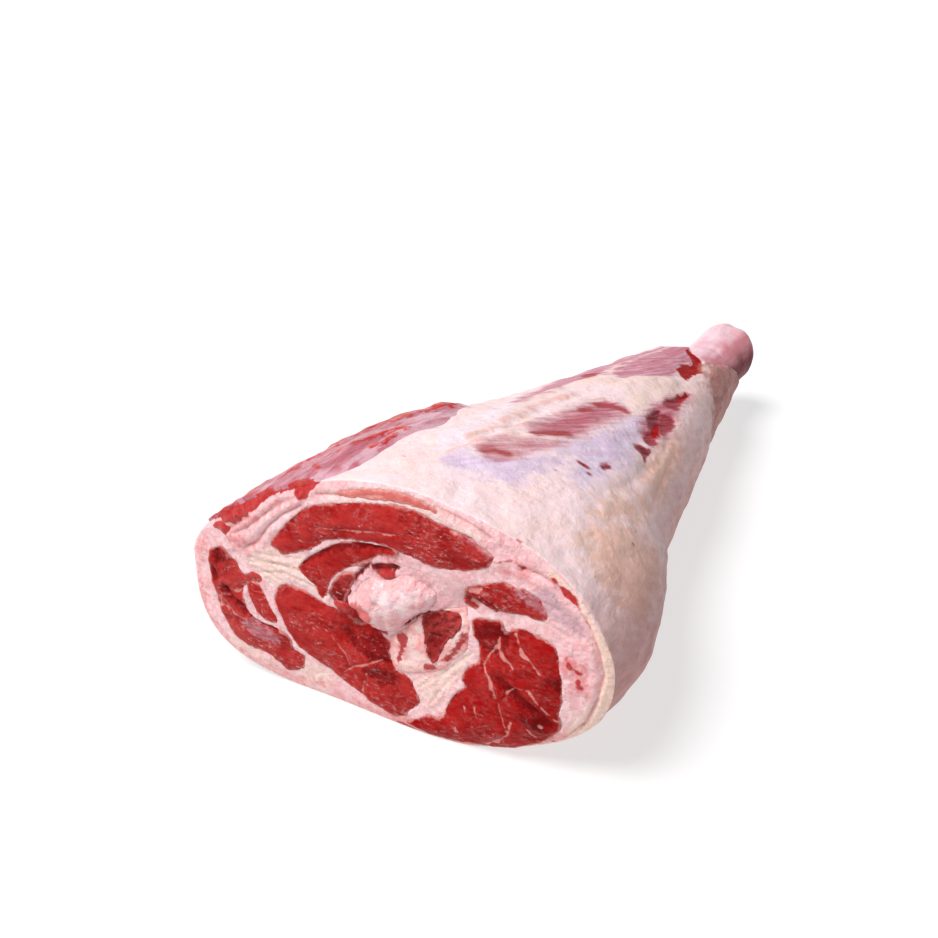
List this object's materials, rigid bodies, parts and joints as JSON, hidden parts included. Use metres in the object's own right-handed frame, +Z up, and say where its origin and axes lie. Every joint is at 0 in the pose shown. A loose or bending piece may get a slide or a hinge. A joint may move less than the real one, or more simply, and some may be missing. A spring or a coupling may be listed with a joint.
{
  "type": "raw leg of lamb",
  "caption": "Raw bone-in leg of lamb with its shank, sawn across the thigh: lean muscles and bone in pale fat, a bare knuckle at the far end.",
  "frame": {"origin": "centre of the leg's bounding box, on the surface that it lies on", "axes": "+Y along the leg from the cut to the knuckle, +Z up out of the resting side, +X across to the hip side"},
  "size_m": [0.1884, 0.3566, 0.1066],
  "materials": {
    "fat": "waxy, slightly translucent cream fat and fell",
    "lean": "wet red muscle with a fine grain and pale marbling",
    "dark_lean": "wet dark red muscle",
    "membrane": "purplish pink lean under a thin shiny membrane",
    "pale_lean": "pale pink muscle",
    "bone": "sawn bone and cartilage, pinkish white",
    "marrow": "dark red spongy marrow",
    "knuckle": "smooth wet pink cartilage"
  },
  "bodies": {
    "root": {"fat_and_fell": "fat", "topside_muscle": "lean", "adductor_muscle": "lean", "inner_slip": "dark_lean", "silverside_muscle": "lean", "flank_muscle": "dark_lean", "eye_muscle": "lean", "outer_muscle": "lean", "thick_flank_muscle": "lean", "pale_slip": "pale_lean", "thigh_bone": "bone", "marrow": "marrow", "joint_knob": "bone", "inner_thigh_sheet": "membrane", "shank_bone": "knuckle"}
  },
  "joints": []
}
